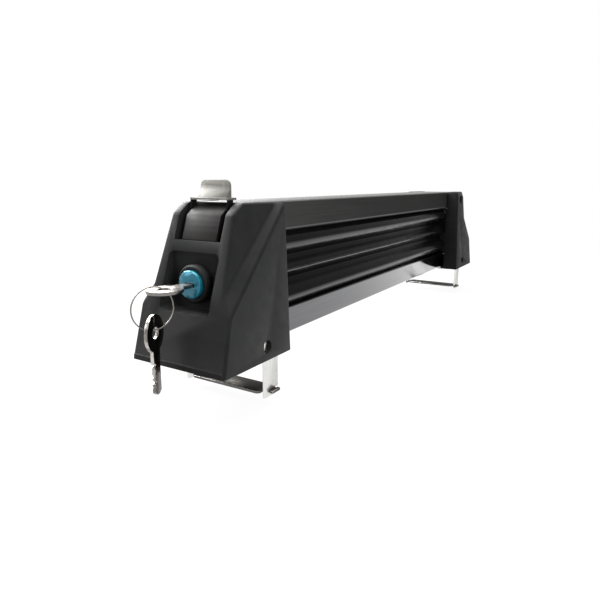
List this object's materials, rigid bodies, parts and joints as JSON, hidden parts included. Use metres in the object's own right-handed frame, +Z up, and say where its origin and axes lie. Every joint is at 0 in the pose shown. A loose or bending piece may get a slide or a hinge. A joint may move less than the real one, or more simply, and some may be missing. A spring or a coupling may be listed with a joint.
{
  "type": "roof ski rack",
  "caption": "Lockable roof carrier with a padded rail and a padded hinged arm between towers that clamp to a crossbar with bolted straps",
  "frame": {"origin": "middle of the lock end's crossbar seat, on the underside of its rubber foot", "axes": "+X along the rails from the lock end to the hinge end, +Y across, +Z up"},
  "size_m": [0.594, 0.08, 0.147],
  "materials": {
    "black_plastic": "fine moulded grain, satin black",
    "black_anodised": "black anodised extrusion, satin to gloss at grazing angles",
    "black_rubber": "smooth extruded rubber, soft sheen",
    "grey_plastic": "dark grey moulded plastic",
    "cast_knuckle": "black coated die casting",
    "blue_lock_face": "glossy blue moulded face on a metal plug",
    "nickel_plate": "bright nickel plate, lightly scratched",
    "stainless_sheet": "bright stainless sheet with rolled grain",
    "zinc_steel": "zinc plated steel"
  },
  "bodies": {
    "base": {"hinge_base_plate": "black_plastic", "hinge_base_screw_1": "zinc_steel", "hinge_base_screw_2": "zinc_steel", "hinge_base_screw_3": "zinc_steel", "hinge_base_screw_4": "zinc_steel", "hinge_clamp_washer": "zinc_steel", "hinge_pin": "zinc_steel", "hinge_seat_pad": "black_rubber", "hinge_tower": "black_plastic", "latch_block": "grey_plastic", "latch_pin": "zinc_steel", "latch_spring": "zinc_steel", "lock_barrel": "black_plastic", "lock_base_plate": "black_plastic", "lock_base_screw_1": "zinc_steel", "lock_base_screw_2": "zinc_steel", "lock_base_screw_3": "zinc_steel", "lock_base_screw_4": "zinc_steel", "lock_clamp_washer": "zinc_steel", "lock_nut": "zinc_steel", "lock_seat_pad": "black_rubber", "lock_tower": "black_plastic", "lower_pad": "black_rubber", "lower_rail": "black_anodised"},
    "arm": {"arm_end_cap": "black_plastic", "arm_pad": "black_rubber", "arm_rail": "black_anodised", "arm_striker": "zinc_steel", "hinge_knuckle": "cast_knuckle", "knuckle_screw_1": "zinc_steel", "knuckle_screw_2": "zinc_steel", "striker_screw_1": "zinc_steel", "striker_screw_2": "zinc_steel", "striker_t_nut": "zinc_steel"},
    "latch": {"latch_hook": "stainless_sheet"},
    "lock": {"lock_plug": "blue_lock_face", "lock_cam": "zinc_steel", "cam_screw": "zinc_steel", "key": "nickel_plate"},
    "ring": {"key_ring": "nickel_plate"},
    "spare": {"spare_key": "nickel_plate"},
    "lock_clamp": {"lock_clamp_strap": "stainless_sheet", "lock_clamp_plate": "stainless_sheet", "lock_clamp_nut": "zinc_steel"},
    "lock_bolt": {"lock_clamp_bolt": "zinc_steel"},
    "hinge_clamp": {"hinge_clamp_strap": "stainless_sheet", "hinge_clamp_plate": "stainless_sheet", "hinge_clamp_nut": "zinc_steel"},
    "hinge_bolt": {"hinge_clamp_bolt": "zinc_steel"}
  },
  "joints": [
    {"name": "arm_hinge", "type": "hinge", "parent": "base", "child": "arm", "pos_m": [0.4865, 0, 0.095], "axis": [0, 1, 0], "range_deg": [0, 85]},
    {"name": "latch_pivot", "type": "hinge", "parent": "base", "child": "latch", "pos_m": [-0.0005, 0, 0.084], "axis": [0, 1, 0], "range_deg": [-12, 7], "stiffness_Nm_per_rad": 0.05},
    {"name": "lock_turn", "type": "hinge", "parent": "base", "child": "lock", "pos_m": [-0.022, 0, 0.0545], "axis": [-1, 0, 0], "range_deg": [0, 90]},
    {"name": "ring_swing", "type": "hinge", "parent": "lock", "child": "ring", "pos_m": [-0.05063, 0.00307, 0.0574], "axis": [0.9272, -0.3746, 0], "range_deg": [-25, 8]},
    {"name": "spare_swing", "type": "hinge", "parent": "ring", "child": "spare", "pos_m": [-0.05063, 0.00307, 0.0313], "axis": [0.9272, -0.3746, 0], "range_deg": [-30, 8]},
    {"name": "lock_bolt_turn", "type": "hinge", "parent": "base", "child": "lock_bolt", "pos_m": [0.0178, 0, 0.033], "axis": [0, 0, -1], "range_deg": [-1738, 1594]},
    {"name": "lock_clamp_slide", "type": "slide", "parent": "base", "child": "lock_clamp", "axis": [0, 0, 1], "range_m": [-0.006, 0.0055]},
    {"name": "hinge_bolt_turn", "type": "hinge", "parent": "base", "child": "hinge_bolt", "pos_m": [0.4752, 0, 0.033], "axis": [0, 0, -1], "range_deg": [-1738, 1594]},
    {"name": "hinge_clamp_slide", "type": "slide", "parent": "base", "child": "hinge_clamp", "axis": [0, 0, 1], "range_m": [-0.006, 0.0055]}
  ],
  "couplings": [
    {"joint": "lock_bolt_turn", "follows": "lock_clamp_slide", "rad_per_m": 5026.5},
    {"joint": "hinge_bolt_turn", "follows": "hinge_clamp_slide", "rad_per_m": 5026.5}
  ]
}
